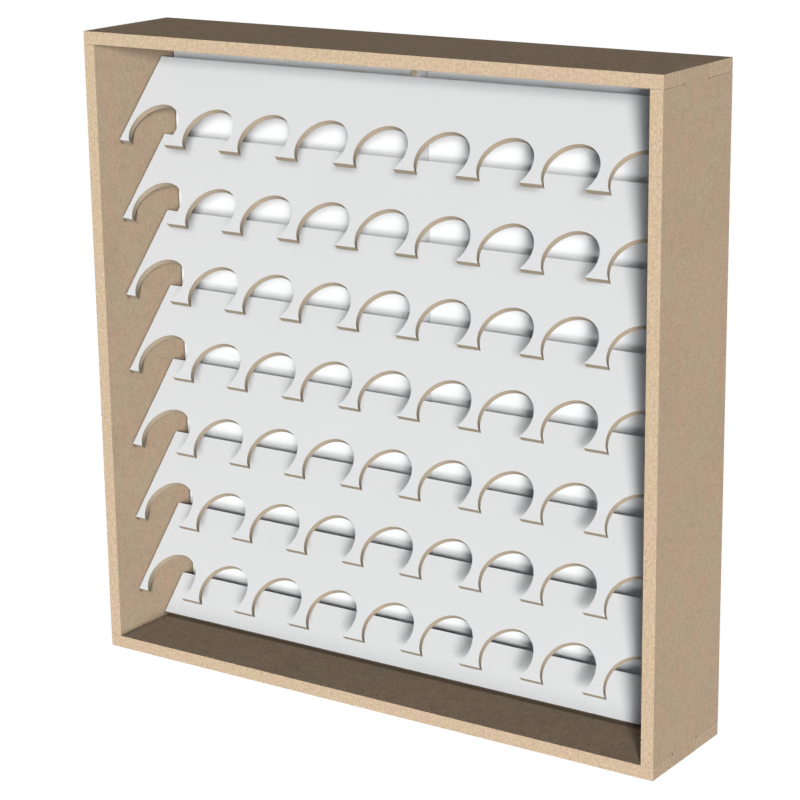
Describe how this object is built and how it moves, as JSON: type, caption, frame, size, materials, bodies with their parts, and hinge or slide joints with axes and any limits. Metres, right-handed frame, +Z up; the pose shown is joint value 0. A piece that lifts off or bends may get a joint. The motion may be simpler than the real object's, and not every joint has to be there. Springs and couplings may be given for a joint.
{
  "type": "paint rack organizer",
  "caption": "Square open-front rack of slanted notched shelves that hold small paint bottles at an angle, for a desk or a wall.",
  "frame": {"origin": "middle of the footprint, on the ground", "axes": "+X to the right and +Z up as seen from the front, +Y towards the back; the open front faces -Y"},
  "size_m": [0.3, 0.06, 0.3],
  "materials": {
    "raw_mdf": "raw sanded MDF, lighter cut edges",
    "white_hdf": "hardboard with a white lacquered face and raw brown edges",
    "white_back": "hardboard with a white lacquered face"
  },
  "bodies": {
    "root": {"top_board": "raw_mdf", "bottom_board": "raw_mdf", "left_side": "raw_mdf", "right_side": "raw_mdf", "back_panel": "white_back", "centre_rib": "white_back", "bottle_shelf_1": "white_hdf", "bottle_shelf_2": "white_hdf", "bottle_shelf_3": "white_hdf", "bottle_shelf_4": "white_hdf", "bottle_shelf_5": "white_hdf", "bottle_shelf_6": "white_hdf", "bottle_shelf_7": "white_hdf", "base_shelf": "white_hdf"}
  },
  "joints": []
}
